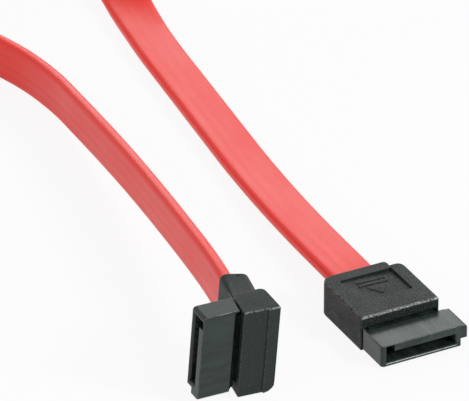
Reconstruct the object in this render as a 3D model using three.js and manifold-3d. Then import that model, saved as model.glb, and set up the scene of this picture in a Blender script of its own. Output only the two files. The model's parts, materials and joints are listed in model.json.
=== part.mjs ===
// Flat internal data cable: a seven-core ribbon with a straight plug at one end and a
// right-angled plug at the other. The straight plug lies on its broad face with its mouth
// towards -Y, the angled plug stands on its keyed end with its mouth towards -X, and the
// ribbon runs back from both and turns round behind them. Millimetres, +Z up.
//
// Each plug is drawn in its own frame: u runs across its width towards the key rib,
// v runs from the mouth to the back, and w points to the side with the thick wall.
// v = 0 is the front face of the overmold and w = 0 the middle of the housing.

import * as THREE from "three";
import { mergeVertices } from "three/addons/utils/BufferGeometryUtils.js";
import Module from "manifold-3d";

const wasm = await Module();
wasm.setup();

// Fits
const seatGap = 0.3; // moulded pieces to what they hold
const contactGap = 0.1; // contacts to their slots and to the wires
const ribbonGap = 0.2; // ribbon to the channel it leaves by

// Ribbon
const ribbonWidth = 7.8;
const ribbonThickness = 2.2;
const ribbonEdge = 0.95; // radius of its long edges
const ribbonSteps = 80;
const ribbonInside = 4.6; // length held in each boot

// Housing, the same in both plugs
const housingWidth = 14.2;
const housingThickness = 3.75;
const housingReach = 6.5; // from the overmold to the mouth
const thickWall = 1.25; // wall that carries the contacts
const thinWall = 0.7; // wall opposite the contacts
const leftWall = 1.1;
const rightWall = 1.0;
const mouthCorner = 0.55; // radius of the plain end's edge at the mouth
const slotFloor = 0.6; // wall behind the slot
const legWidth = 1.2; // short arm of the L-shaped slot
const legWall = 0.45; // wall over the short arm
const leadIn = 0.38; // bevel round the mouth
const leadInDepth = 0.45;
const legLeadIn = 0.3; // bevel over the short arm
const ribHeight = 1.1;
const ribThickness = 2.4;
const ribStart = 0.85; // clear of the overmold by this much
const ribCorner = 0.6; // radius of its outer edge beside the thick wall
const collarHeight = 0.35; // low step between the rib and the overmold
const rebateStart = 0.95; // shallow step across the broad face, before the overmold
const rebateDepth = 0.35;
const rebateInset = 0.4; // left whole at the plain end
const neckDepth = 1.3; // the part that passes through the overmold's front wall
const neckWidth = 11.8;
const neckLow = 1.4;
const neckHigh = 1.5;
const flangeDepth = 1.9; // straight plug, the wider part behind the neck
const angledFlangeDepth = 1.3;
const shelfDepth = 2.4; // straight plug, ledge over the contact tails
const shelfWidth = 9.8;
const frontWall = 1.0; // the overmold's front wall

// Contacts and wires
const contactCount = 7;
const contactPitch = 1.27;
const contactWidth = 0.6;
const contactThickness = 0.2;
const contactLevel = 1.05; // w of the strip where the housing holds it
const grooveLift = 0.15; // room above the strip in its groove
const tipSetback = 0.9; // strip tip behind the mouth
const tipDip = 0.1; // tip below that level
const noseDip = 0.6; // lowest point of the sprung nose below it
const heelDip = 0.55; // end of the nose below it
const noseLength = 0.7; // tip to lowest point, and on to the heel
const gripLead = 0.9; // level strip before the slot's back wall
const tailReach = 5.3; // straight plug, end of the strip
const legReach = 1.6; // angled plug, length of the bent tail
const bareDiameter = 0.4;
const coreDiameter = 0.9; // with its insulation
const jacketWall = 0.3; // ribbon's jacket beside its outer cores
const straightBare = 2.4; // length without insulation
const angledBare = 1.0;
const straightFan = 1.5; // length in which the cores close to the ribbon's pitch
const insulationStep = 0.05; // length over which the insulation begins
const solderStart = 0.6; // from the flange to the first bare wire
const drains = [1, 4, 7]; // bare earth wires
const wireSides = 8;

// Straight overmold
const straightWidth = 14.0;
const straightShift = -0.3; // its middle from the housing's middle
const straightDrop = 2.3; // below the housing's middle
const straightRise = 3.72;
const straightBlock = 12.4; // front face to shoulder
const straightBoot = 1.4; // boot behind the shoulder
const bootWall = 0.5;
const blockCorner = 1.2;
const bootCorner = 1.9;
const pocketInset = 2.35; // from both sides of the block
const pocketFront = 4.4;
const pocketLength = 7.1;
const pocketLip = 0.02; // depth at its front left corner
const pocketAcross = 0.28; // deeper by this much along its right side
const pocketAlong = 0.18; // and by this much along its back
const arrowSetback = 1.0; // arrow's tip behind the pocket's front edge
const arrowLength = 2.6;
const arrowWidth = 3.4;
const barLength = 5.2;
const barDepth = 0.55;
const barSpacing = 1.15;
const markHeight = 0.1; // arrow and bars over the pocket's floor

// Angled overmold
const angledDepth = 6.1; // along v
const angledRise = 3.3; // the thick wall's side, over the housing's middle
const angledFrontRise = 3.05; // the same at its front
const angledFrontLean = 8.5; // degrees its front face leans back from square
const angledDrop = 2.3; // the ribbon's side
const angledStep = 0.25; // raised strip along the back half of the face
const angledStepStart = 4.0;
const angledTop = 0.1; // over the housing's plain end
const angledFoot = 0.4; // below the key rib
const angledShoulder = 1.0;
const angledBackWall = 0.4; // the ribbon's side, behind the cavity
const angledCornerBack = 1.6;
const angledBootReach = 5.4; // behind the block
const angledBootWidth = 4.9;
const angledBootEnd = 4.3; // its width at the back
const angledBootInset = 0.25; // lower than the block at both ends
const angledBootShift = -0.25; // its middle from the ribbon's
const angledBootFace = 20; // degrees its back face turns from square
const angledBootCorner = 1.1;
const angledSkew = 12; // degrees the ribbon turns from square

// Wire caps, moulded over the soldered ends before the outer mould
const capWidth = 11.8;
const capFloor = 1.0;

// Where the plugs are
const straightPlace = [14.6, -3.6]; // x and y of the plug's own zero
const angledPlace = [-16.25, -6.04]; // the standing plug's near bottom edge
const angledYaw = 1.2; // degrees
const angledLeanBack = 4.0;
const angledLeanSide = 2.5;

// Ribbon's middle line between the two boots, straight plug first. Each point has its
// x, y and z, and its roll in degrees: 0 lies flat and 90 stands on edge.
const route = [
  [14.7, 16.4, 2.9, 0],
  [15.1, 26.4, 2.55, 0],
  [15.8, 36.4, 2.05, 0],
  [16.7, 46.4, 1.6, 0],
  [17.7, 56.4, 1.35, 0],
  [18.8, 66.4, 1.3, 0],
  [19.9, 76.4, 1.3, 0],
  [21, 86.4, 1.3, 0],
  [22.1, 96.4, 1.3, 0],
  [23.2, 104.4, 1.35, 0],
  [24.2, 111.5, 1.8, 8],
  [24.95, 118, 2.95, 28],
  [25.15, 124.4, 3.95, 55],
  [23.49, 131.88, 4.2, 78],
  [18.83, 137.96, 4.1, 90],
  [12.03, 141.5, 4.1, 90],
  [4.38, 141.83, 4.1, 90],
  [-2.7, 138.9, 4.1, 90],
  [-7.88, 133.25, 4.1, 90],
  [-10.18, 125.94, 4.1, 90],
  [-9.75, 118.3, 4.1, 90],
  [-7.6, 110.9, 4.1, 90],
  [-5.1, 103.6, 4.1, 90],
  [-3.3, 96, 4.2, 90],
  [-2.6, 86.4, 4.6, 90],
  [-3, 76.4, 5.1, 90],
  [-3.7, 66.4, 5.75, 90],
  [-4.55, 56.4, 6.45, 90],
  [-5.55, 46.4, 7.1, 90],
  [-6.7, 36.4, 7.75, 90],
  [-8, 26.4, 8.45, 90],
  [-9.4, 16.6, 9.1, 91],
  [-10.5, 10.2, 9.4, 92],
];
const ribbonLead = 0.8; // straight length outside the angled boot

const degree = Math.PI / 180;
const mergeDistance = 1e-5; // vertices this close are one
const spill = 0.2; // cutters run this far past a face
const channelOverrun = 2; // and this far past a slanted one

const finish = {
  ribbon: new THREE.MeshStandardMaterial({ color: 0xe8605c, roughness: 0.45, metalness: 0 }),
  overmold: new THREE.MeshStandardMaterial({ color: 0x3a3c38, roughness: 0.6, metalness: 0 }),
  housing: new THREE.MeshStandardMaterial({ color: 0x4b524e, roughness: 0.35, metalness: 0 }),
  cap: new THREE.MeshStandardMaterial({ color: 0xd8d6cc, roughness: 0.6, metalness: 0 }),
  contact: new THREE.MeshStandardMaterial({ color: 0xd2a548, roughness: 0.3, metalness: 1 }),
  core: new THREE.MeshStandardMaterial({ color: 0xb9bcc0, roughness: 0.4, metalness: 0 }),
  drain: new THREE.MeshStandardMaterial({ color: 0xc9c6bf, roughness: 0.35, metalness: 1 }),
};

// A closed three.js geometry as a solid, and back
function solid(geometry) {
  const plain = geometry.clone();
  plain.deleteAttribute("normal");
  plain.deleteAttribute("uv");
  const merged = mergeVertices(plain, mergeDistance);
  return new wasm.Manifold(new wasm.Mesh({
    numProp: 3,
    vertProperties: new Float32Array(merged.attributes.position.array),
    triVerts: new Uint32Array(merged.index.array),
  }));
}

function surface(shape) {
  const mesh = shape.getMesh();
  const geometry = new THREE.BufferGeometry();
  geometry.setAttribute("position", new THREE.BufferAttribute(new Float32Array(mesh.vertProperties), 3));
  geometry.setIndex(new THREE.BufferAttribute(new Uint32Array(mesh.triVerts), 1));
  geometry.computeVertexNormals();
  return geometry;
}

function box([u0, u1], [v0, v1], [w0, w1]) {
  const geometry = new THREE.BoxGeometry(u1 - u0, v1 - v0, w1 - w0);
  geometry.translate((u0 + u1) / 2, (v0 + v1) / 2, (w0 + w1) / 2);
  return solid(geometry);
}

const bothWays = (half) => [-half, half];

// An outline of [a, b, radius] corners as a shape, with each rounded corner an arc
function outline(corners, arcSteps = 4) {
  const points = [];
  corners.forEach(([a, b, radius = 0], index) => {
    const corner = new THREE.Vector2(a, b);
    if (radius === 0) {
      points.push(corner);
      return;
    }
    const before = corners[(index + corners.length - 1) % corners.length];
    const after = corners[(index + 1) % corners.length];
    const inward = new THREE.Vector2(before[0] - a, before[1] - b).normalize();
    const outward = new THREE.Vector2(after[0] - a, after[1] - b).normalize();
    const half = Math.acos(inward.dot(outward)) / 2;
    const bisector = inward.clone().add(outward).normalize();
    const centre = corner.clone().addScaledVector(bisector, radius / Math.sin(half));
    const start = corner.clone().addScaledVector(inward, radius / Math.tan(half)).sub(centre);
    const end = corner.clone().addScaledVector(outward, radius / Math.tan(half)).sub(centre);
    const sweep = Math.atan2(start.cross(end), start.dot(end));
    for (let step = 0; step <= arcSteps; step += 1) {
      const arm = start.clone().rotateAround(new THREE.Vector2(), (sweep * step) / arcSteps);
      points.push(centre.clone().add(arm));
    }
  });
  return new THREE.Shape(points);
}

// Outlines pushed along w, along u and along v
function alongW(shape, [w0, w1]) {
  const geometry = new THREE.ExtrudeGeometry(shape, { depth: w1 - w0, bevelEnabled: false });
  geometry.translate(0, 0, w0);
  return solid(geometry);
}

// The shape's own axes are v and w
function alongU(shape, [u0, u1]) {
  const geometry = new THREE.ExtrudeGeometry(shape, { depth: u1 - u0, bevelEnabled: false });
  const axes = new THREE.Matrix4().makeBasis(
    new THREE.Vector3(0, 1, 0),
    new THREE.Vector3(0, 0, 1),
    new THREE.Vector3(1, 0, 0),
  );
  geometry.applyMatrix4(axes);
  geometry.translate(u0, 0, 0);
  return solid(geometry);
}

// The shape's own axes are u and w
function alongV(shape, [v0, v1]) {
  const geometry = new THREE.ExtrudeGeometry(shape, { depth: v1 - v0, bevelEnabled: false });
  geometry.rotateX(Math.PI / 2);
  geometry.translate(0, v1, 0);
  return solid(geometry);
}

// A solid through rings of equally many points, each ring a list of Vector3
function loft(rings) {
  const count = rings[0].length;
  const positions = rings.flat().flatMap((point) => point.toArray());
  const index = [];
  for (let ring = 0; ring < rings.length - 1; ring += 1) {
    for (let side = 0; side < count; side += 1) {
      const a = ring * count + side;
      const b = ring * count + ((side + 1) % count);
      index.push(a, b, b + count, a, b + count, a + count);
    }
  }
  const last = (rings.length - 1) * count;
  for (let side = 1; side < count - 1; side += 1) {
    index.push(0, side + 1, side);
    index.push(last, last + side, last + side + 1);
  }
  const geometry = new THREE.BufferGeometry();
  geometry.setAttribute("position", new THREE.Float32BufferAttribute(positions, 3));
  geometry.setIndex(index);
  return solid(geometry);
}

// A rectangle in u and w at a given v, running the way that loft wants for growing v
function frame([u0, u1], v, [w0, w1]) {
  return [
    new THREE.Vector3(u0, v, w0),
    new THREE.Vector3(u0, v, w1),
    new THREE.Vector3(u1, v, w1),
    new THREE.Vector3(u1, v, w0),
  ];
}

// Contact i's place across the plug, counted from 1
const contactAt = (i, pitch = contactPitch) => (i - (contactCount + 1) / 2) * pitch;
const corePitch = (ribbonWidth - 2 * jacketWall - coreDiameter) / (contactCount - 1);
const contactNumbers = Array.from({ length: contactCount }, (_, index) => index + 1);

const halfHousing = housingWidth / 2;
const halfThickness = housingThickness / 2;
const mouth = -housingReach;
const slotBack = -seatGap - slotFloor;
const slotSpan = [-halfHousing + leftWall, halfHousing - rightWall];
const slotLow = -halfThickness + thinWall;
const slotHigh = halfThickness - thickWall;
const contactUnder = contactLevel - contactThickness / 2;
const contactOver = contactLevel + contactThickness / 2;

// The front shell with its key rib, collar and L-shaped slot, then neck and flange. The
// shell's back face follows the overmold's front, which leans by backSlope.
function housing(flange, withShelf, backSlope) {
  const right = halfHousing + ribHeight;
  const shell = (start, across) => alongU(outline([
    [start, -halfThickness],
    [start, halfThickness],
    [-seatGap, halfThickness],
    [-seatGap + housingThickness * backSlope, -halfThickness],
  ]), across);
  const plan = outline([
    [-halfHousing, mouth, mouthCorner],
    [halfHousing, mouth],
    [halfHousing, neckDepth],
    [-halfHousing, neckDepth],
  ]);
  let body = shell(mouth, bothWays(halfHousing)).intersect(alongW(plan, bothWays(halfThickness)));
  body = body.add(shell(-ribStart - spill, [halfHousing - spill, halfHousing + collarHeight]));
  const rib = outline([
    [halfHousing - spill, halfThickness - ribThickness],
    [right, halfThickness - ribThickness],
    [right, halfThickness, ribCorner],
    [halfHousing - spill, halfThickness],
  ]);
  body = body.add(alongV(rib, [mouth, -ribStart]));
  body = body.subtract(box(
    [-halfHousing + rebateInset, right + spill],
    [-rebateStart, spill],
    [halfThickness - rebateDepth, halfThickness + spill],
  ));

  const flangeEnd = neckDepth + flange;
  const neck = bothWays(neckWidth / 2);
  body = body.add(box(neck, [-seatGap - spill, neckDepth + spill], [-neckLow, neckHigh]));
  body = body.add(box(neck, [neckDepth, flangeEnd], [-neckLow, halfThickness]));
  if (withShelf) {
    const ledge = [contactOver + contactGap, halfThickness];
    body = body.add(box(bothWays(shelfWidth / 2), [flangeEnd - spill, flangeEnd + shelfDepth], ledge));
  }

  const leg = [slotSpan[0], slotSpan[0] + legWidth];
  const legHigh = halfThickness - legWall;
  body = body.subtract(box(slotSpan, [mouth - spill, slotBack], [slotLow, slotHigh]));
  body = body.subtract(box(leg, [mouth - spill, slotBack], [slotLow, legHigh]));
  const wideSpan = [slotSpan[0] - leadIn, slotSpan[1] + leadIn];
  body = body.subtract(loft([
    frame(wideSpan, mouth, [slotLow - leadIn, slotHigh]),
    frame(slotSpan, mouth + leadInDepth, [slotLow, slotHigh]),
  ]));
  body = body.subtract(loft([
    frame([leg[0] - leadIn, leg[1]], mouth, [slotLow, legHigh + legLeadIn]),
    frame(leg, mouth + leadInDepth, [slotLow, legHigh]),
  ]));

  contactNumbers.forEach((i) => {
    const half = contactWidth / 2 + contactGap;
    const across = [contactAt(i) - half, contactAt(i) + half];
    const groove = [slotHigh - spill, contactOver + grooveLift];
    const window = [contactUnder - contactGap, contactOver + contactGap];
    body = body.subtract(box(across, [mouth + tipSetback - contactGap, slotBack], groove));
    body = body.subtract(box(across, [slotBack - spill, flangeEnd + spill], window));
  });
  return body;
}

// A bent strip of even thickness along points in v and w
function strip(points, thickness) {
  const path = points.map(([v, w]) => new THREE.Vector2(v, w));
  const side = (sign) => path.map((point, index) => {
    const before = path[Math.max(index - 1, 0)];
    const after = path[Math.min(index + 1, path.length - 1)];
    const into = point.clone().sub(before);
    const out = after.clone().sub(point);
    const a = index === 0 ? out.clone().normalize() : into.clone().normalize();
    const b = index === path.length - 1 ? a.clone() : out.clone().normalize();
    const normal = new THREE.Vector2(-a.y - b.y, a.x + b.x).normalize();
    const reach = thickness / 2 / normal.dot(new THREE.Vector2(-a.y, a.x));
    return point.clone().addScaledVector(normal, sign * reach);
  });
  return new THREE.Shape([...side(-1), ...side(1).reverse()]);
}

// The sprung nose in the slot, up to where the housing grips the strip
const nose = [
  [mouth + tipSetback, contactLevel - tipDip],
  [mouth + tipSetback + noseLength, contactLevel - noseDip],
  [mouth + tipSetback + 2 * noseLength, contactLevel - heelDip],
  [slotBack - gripLead, contactLevel],
];

function contact(i, tail) {
  const across = [contactAt(i) - contactWidth / 2, contactAt(i) + contactWidth / 2];
  return alongU(strip([...nose, ...tail], contactThickness), across);
}

// A wire through [u, distance, radius] stations. at() gives its place from u and distance.
function wire(stations, at, ringAxes) {
  return loft(stations.map(([u, distance, radius]) => (
    Array.from({ length: wireSides }, (_, side) => {
      const turn = (side / wireSides) * 2 * Math.PI;
      return at(u, distance)
        .addScaledVector(ringAxes[0], radius * Math.cos(turn))
        .addScaledVector(ringAxes[1], radius * Math.sin(turn));
    })
  )));
}

// Bare at the contact, then insulated unless it is a drain, and closing up to the ribbon
function wireStations(i, start, coreStart, fanEnd, end) {
  const bare = bareDiameter / 2;
  const core = drains.includes(i) ? bare : coreDiameter / 2;
  const wide = contactAt(i);
  const close = contactAt(i, corePitch);
  const stations = [[wide, start, bare], [wide, coreStart, bare]];
  if (core > bare) {
    stations.push([wide, coreStart + insulationStep, core]);
  }
  stations.push([close, fanEnd, core], [close, end, core]);
  return stations;
}

const wireDrop = contactThickness / 2 + contactGap + bareDiameter / 2;
const capChannel = contactAt(contactCount) + coreDiameter / 2 + seatGap;
const halfCap = capWidth / 2;
const halfCavity = Math.max(neckWidth / 2, halfCap) + seatGap;

// Straight plug
const ribbonLevel = contactLevel - wireDrop;
const straightFlangeEnd = neckDepth + flangeDepth;
const straightBack = straightBlock + straightBoot;
const straightRibbonStart = straightBack - ribbonInside;
const channelLow = ribbonLevel - coreDiameter / 2 - seatGap;

function straightContact(i) {
  return contact(i, [[slotBack, contactLevel], [tailReach, contactLevel]]);
}

function straightWire(i) {
  const at = (u, v) => new THREE.Vector3(u, v, ribbonLevel);
  const axes = [new THREE.Vector3(0, 0, 1), new THREE.Vector3(1, 0, 0)];
  const start = straightFlangeEnd + solderStart;
  const coreStart = start + straightBare;
  const end = straightRibbonStart - seatGap;
  return wire(wireStations(i, start, coreStart, coreStart + straightFan, end), at, axes);
}

function straightCap() {
  const length = [straightFlangeEnd + seatGap, straightRibbonStart - seatGap - contactGap];
  const channel = [[length[0] - spill, length[1] + spill], [channelLow, contactOver]];
  const block = box(bothWays(halfCap), length, [channelLow - capFloor, contactUnder]);
  return block.subtract(box(bothWays(capChannel), ...channel));
}

function straightOvermold() {
  const left = straightShift - straightWidth / 2;
  const right = straightShift + straightWidth / 2;
  const bootRight = ribbonWidth / 2 + ribbonGap + bootWall;
  const top = [-straightDrop, straightRise];
  let body = alongW(outline([
    [left, 0],
    [right, 0],
    [right, straightBlock, blockCorner],
    [bootRight, straightBlock],
    [bootRight, straightBack, straightBoot / 2],
    [left, straightBack, bootCorner],
  ]), top);

  const neck = bothWays(neckWidth / 2 + seatGap);
  const cavityLow = Math.min(-neckLow, channelLow - capFloor) - seatGap;
  const cavityEnd = straightRibbonStart - contactGap;
  body = body.subtract(box(neck, [-spill, frontWall + spill], [-neckLow - seatGap, neckHigh + seatGap]));
  const cavity = [[frontWall, cavityEnd], [cavityLow, halfThickness + seatGap]];
  body = body.subtract(box(bothWays(halfCavity), ...cavity));
  body = body.subtract(box(
    bothWays(ribbonWidth / 2 + ribbonGap),
    [cavityEnd - spill, straightBack + spill],
    [ribbonLevel - ribbonThickness / 2 - ribbonGap, ribbonLevel + ribbonThickness / 2 + ribbonGap],
  ));

  // The pocket's floor slopes up to the surface at its front left corner
  const pocket = [left + pocketInset, right - pocketInset];
  const floorAt = (u, v) => {
    const across = (u - pocket[0]) / (pocket[1] - pocket[0]);
    const along = (v - pocketFront) / pocketLength;
    return straightRise - pocketLip - pocketAcross * across - pocketAlong * along;
  };
  const layer = (low, high) => loft([pocketFront, pocketFront + pocketLength].map((v) => [
    new THREE.Vector3(pocket[0], v, floorAt(pocket[0], v) + low),
    new THREE.Vector3(pocket[0], v, floorAt(pocket[0], v) + high),
    new THREE.Vector3(pocket[1], v, floorAt(pocket[1], v) + high),
    new THREE.Vector3(pocket[1], v, floorAt(pocket[1], v) + low),
  ]));
  body = body.subtract(layer(0, pocketLip + pocketAcross + pocketAlong + spill));

  // A plain arrow towards the mouth, with two grip bars behind it
  const middle = (pocket[0] + pocket[1]) / 2;
  const arrowTip = pocketFront + arrowSetback;
  const arrowBase = arrowTip + arrowLength;
  const arrow = new THREE.Shape([
    new THREE.Vector2(middle, arrowTip),
    new THREE.Vector2(middle + arrowWidth / 2, arrowBase),
    new THREE.Vector2(middle - arrowWidth / 2, arrowBase),
  ]);
  let marks = alongW(arrow, [0, straightRise]);
  [1, 2].forEach((n) => {
    const start = arrowBase + n * barSpacing - barDepth;
    const across = [middle - barLength / 2, middle + barLength / 2];
    marks = marks.add(box(across, [start, start + barDepth], [0, straightRise]));
  });
  return body.add(marks.intersect(layer(-spill, markHeight)));
}

// Angled plug
const legAt = neckDepth + angledFlangeDepth + contactGap + contactThickness / 2;
const angledRibbonAt = legAt + wireDrop;
const angledBack = -angledDrop - angledBootReach;
const angledBottom = halfHousing + ribHeight + angledFoot;
const skewSlope = Math.tan(angledSkew * degree);
const frontSlope = Math.tan(angledFrontLean * degree);
const angledRibbonStart = angledBack + ribbonInside * Math.cos(angledSkew * degree);
const boundV = (w) => angledRibbonAt + (angledRibbonStart - w) * skewSlope;

function angledContact(i) {
  return contact(i, [
    [slotBack, contactLevel],
    [legAt, contactLevel],
    [legAt, contactLevel - legReach],
  ]);
}

function angledWire(i) {
  const at = (u, distance) => new THREE.Vector3(u, angledRibbonAt, -distance);
  const axes = [new THREE.Vector3(0, 1, 0), new THREE.Vector3(1, 0, 0)];
  const start = bareDiameter / 2 - contactLevel + solderStart;
  const fanEnd = angledDrop - angledBackWall - contactGap;
  const end = -angledRibbonStart - seatGap;
  return wire(wireStations(i, start, start + angledBare, fanEnd, end), at, axes);
}

function angledCap() {
  const front = legAt + contactThickness / 2;
  const channelBack = angledRibbonAt + coreDiameter / 2 + seatGap;
  const height = [-angledDrop + angledBackWall + seatGap, contactUnder];
  const block = box(bothWays(halfCap), [front, channelBack + capFloor], height);
  const channel = [[front - spill, channelBack], [height[0] - spill, height[1] + spill]];
  return block.subtract(box(bothWays(capChannel), ...channel));
}

// A rounded upright ring of the boot at a given w
function bootRing(w, width, skewOffset) {
  const top = -halfHousing - angledTop + angledBootInset;
  const bottom = angledBottom - angledBootInset;
  const middle = boundV(w) + angledBootShift;
  const shape = outline([
    [top, middle - width / 2, angledBootCorner],
    [bottom, middle - width / 2, angledBootCorner],
    [bottom, middle + width / 2, angledBootCorner],
    [top, middle + width / 2, angledBootCorner],
  ]);
  return shape.getPoints().map(({ x, y }) => (
    new THREE.Vector3(x, y, w + (y - middle) * skewOffset)
  ));
}

function channelRing(w) {
  const half = ribbonThickness / 2 / Math.cos(angledSkew * degree) + ribbonGap;
  const edge = ribbonWidth / 2 + ribbonGap;
  const middle = boundV(w);
  return [
    new THREE.Vector3(-edge, middle - half, w),
    new THREE.Vector3(edge, middle - half, w),
    new THREE.Vector3(edge, middle + half, w),
    new THREE.Vector3(-edge, middle + half, w),
  ];
}

function angledOvermold() {
  const plain = -halfHousing - angledTop;
  const keyed = angledBottom;
  const frontAt = (w) => (halfThickness - w) * frontSlope;
  const before = frontAt(angledFrontRise) - spill;
  const side = alongU(outline([
    [frontAt(angledFrontRise), angledFrontRise],
    [frontAt(-angledDrop), -angledDrop],
    [angledDepth, -angledDrop, angledShoulder],
    [angledDepth, angledRise + angledStep, angledStep],
    [angledStepStart, angledRise + angledStep],
    [angledStepStart, angledRise],
  ]), [plain, keyed]);
  const face = alongW(outline([
    [plain, before],
    [keyed, before],
    [keyed, angledDepth, angledCornerBack],
    [plain, angledDepth, angledStep],
  ]), [-angledDrop - spill, angledRise + angledStep + spill]);
  const boot = loft([
    bootRing(angledBack, angledBootEnd, Math.tan(angledBootFace * degree)),
    bootRing(-angledDrop + angledShoulder, angledBootWidth, 0),
  ]);
  const ahead = alongU(outline([
    [mouth, angledRise],
    [frontAt(angledRise), angledRise],
    [frontAt(angledBack), angledBack],
    [mouth, angledBack],
  ]), [plain - spill, keyed + spill]);
  let body = side.intersect(face).add(boot.subtract(ahead));

  const neck = bothWays(neckWidth / 2 + seatGap);
  const cavityBack = angledRibbonAt + coreDiameter / 2 + 2 * seatGap + capFloor;
  const cavity = [-angledDrop + angledBackWall, halfThickness + seatGap];
  body = body.subtract(box(neck, [before, frontWall + spill], [-neckLow - seatGap, neckHigh + seatGap]));
  body = body.subtract(box(bothWays(halfCavity), [frontWall, cavityBack], cavity));
  return body.subtract(loft([
    channelRing(angledBack - channelOverrun),
    channelRing(cavity[0] + spill),
  ]));
}

// Placing
function mesh(name, shape, material) {
  const piece = new THREE.Mesh(surface(shape), material);
  piece.name = name;
  return piece;
}

function plug(prefix, pieces) {
  const group = new THREE.Group();
  group.add(mesh(`${prefix}_overmold`, pieces.overmold(), finish.overmold));
  group.add(mesh(`${prefix}_housing`, pieces.housing(), finish.housing));
  group.add(mesh(`${prefix}_wire_cap`, pieces.cap(), finish.cap));
  contactNumbers.forEach((i) => {
    group.add(mesh(`${prefix}_contact_${i}`, pieces.contact(i), finish.contact));
    const kind = drains.includes(i) ? finish.drain : finish.core;
    group.add(mesh(`${prefix}_wire_${i}`, pieces.wire(i), kind));
  });
  return group;
}

const straightPlug = plug("straight", {
  overmold: straightOvermold,
  housing: () => housing(flangeDepth, true, 0),
  cap: straightCap,
  contact: straightContact,
  wire: straightWire,
});
straightPlug.position.set(...straightPlace, straightDrop);

// u points down, v to +X and w to -Y, with the keyed end down
const angledPlug = plug("angled", {
  overmold: angledOvermold,
  housing: () => housing(angledFlangeDepth, false, frontSlope),
  cap: angledCap,
  contact: angledContact,
  wire: angledWire,
});
angledPlug.setRotationFromMatrix(new THREE.Matrix4().makeBasis(
  new THREE.Vector3(0, 0, -1),
  new THREE.Vector3(1, 0, 0),
  new THREE.Vector3(0, -1, 0),
));
angledPlug.position.set(0, halfThickness, angledBottom);
const angledStand = new THREE.Group();
angledStand.add(angledPlug);
angledStand.rotation.set(angledLeanBack * degree, angledLeanSide * degree, angledYaw * degree, "ZYX");
angledStand.position.set(...angledPlace, 0);
angledStand.updateMatrixWorld(true);
angledStand.position.z = -new THREE.Box3().setFromObject(angledStand, true).min.z;
angledStand.updateMatrixWorld(true);

// The ribbon's held ends follow the two channels
const inStraightPlug = (v) => straightPlug.localToWorld(new THREE.Vector3(0, v, ribbonLevel));
const inAngledPlug = (w) => angledPlug.localToWorld(new THREE.Vector3(0, boundV(w), w));
const straightEnd = [straightRibbonStart, straightBack].map(inStraightPlug);
const angledEnd = [
  angledBack - ribbonLead,
  (angledBack + angledRibbonStart) / 2,
  angledRibbonStart,
].map(inAngledPlug);

// Roll in degrees of a ribbon along a tangent whose broad side lies along across
const up = new THREE.Vector3(0, 0, 1);
function rollOf(tangent, across) {
  const level = tangent.clone().cross(up).normalize();
  const raised = level.clone().cross(tangent).normalize();
  return Math.atan2(across.dot(raised), across.dot(level)) / degree;
}

const angledAcross = new THREE.Vector3(-1, 0, 0).transformDirection(angledPlug.matrixWorld);
const angledRoll = rollOf(angledEnd[2].clone().sub(angledEnd[0]).normalize(), angledAcross);

// A ribbon's middle line that turns its broad side by the roll given at each point
class RibbonCurve extends THREE.CatmullRomCurve3 {
  constructor(points, rolls) {
    super(points, false, "centripetal");
    this.rolls = rolls;
  }

  rollAt(t) {
    const place = Math.min(Math.max(t, 0), 1) * (this.rolls.length - 1);
    const index = Math.min(Math.floor(place), this.rolls.length - 2);
    return THREE.MathUtils.lerp(this.rolls[index], this.rolls[index + 1], place - index);
  }

  computeFrenetFrames(segments) {
    const tangents = [];
    const normals = [];
    const binormals = [];
    for (let step = 0; step <= segments; step += 1) {
      const tangent = this.getTangentAt(step / segments);
      const level = tangent.clone().cross(up).normalize();
      const raised = level.clone().cross(tangent).normalize();
      const roll = this.rollAt(this.getUtoTmapping(step / segments)) * degree;
      const across = level.multiplyScalar(Math.cos(roll)).addScaledVector(raised, Math.sin(roll));
      tangents.push(tangent);
      normals.push(across);
      binormals.push(tangent.clone().cross(across));
    }
    return { tangents, normals, binormals };
  }
}

function ribbon() {
  const free = route.map(([x, y, z]) => new THREE.Vector3(x, y, z));
  const rolls = [0, 0, ...route.map((point) => point[3]), ...angledEnd.map(() => angledRoll)];
  const curve = new RibbonCurve([...straightEnd, ...free, ...angledEnd], rolls);
  const section = outline([
    [-ribbonWidth / 2, -ribbonThickness / 2, ribbonEdge],
    [ribbonWidth / 2, -ribbonThickness / 2, ribbonEdge],
    [ribbonWidth / 2, ribbonThickness / 2, ribbonEdge],
    [-ribbonWidth / 2, ribbonThickness / 2, ribbonEdge],
  ], 2);
  return solid(new THREE.ExtrudeGeometry(section, { steps: ribbonSteps, extrudePath: curve }));
}

const cable = new THREE.Group();
cable.add(mesh("cable_jacket", ribbon(), finish.ribbon));
cable.add(straightPlug);
cable.add(angledStand);

export default cable;
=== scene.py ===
"""Dresses a flat data cable: its ribbon, its straight and right-angled plugs, and the stage under them."""

import json
from math import ceil, cos, inf, pi, radians, sin, sqrt

import bmesh
import bpy
from bpy.props import FloatProperty, FloatVectorProperty, IntProperty, PointerProperty
from mathutils import Euler, Matrix, Vector
from mathutils.bvhtree import BVHTree


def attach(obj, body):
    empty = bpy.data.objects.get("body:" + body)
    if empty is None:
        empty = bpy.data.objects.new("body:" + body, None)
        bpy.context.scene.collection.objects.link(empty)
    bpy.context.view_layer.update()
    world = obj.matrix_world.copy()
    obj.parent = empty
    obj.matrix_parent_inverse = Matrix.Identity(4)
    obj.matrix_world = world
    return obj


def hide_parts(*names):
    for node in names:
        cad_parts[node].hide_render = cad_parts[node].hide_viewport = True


bl_info = {
    "name": "Flat data cable",
    "version": (1, 0, 0),
    "blender": (4, 5, 0),
    "location": "3D View > Sidebar > Cable",
    "description": "Makes the ribbon, plugs, contacts and stage of a flat data cable",
    "category": "Add Mesh",
}

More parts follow.
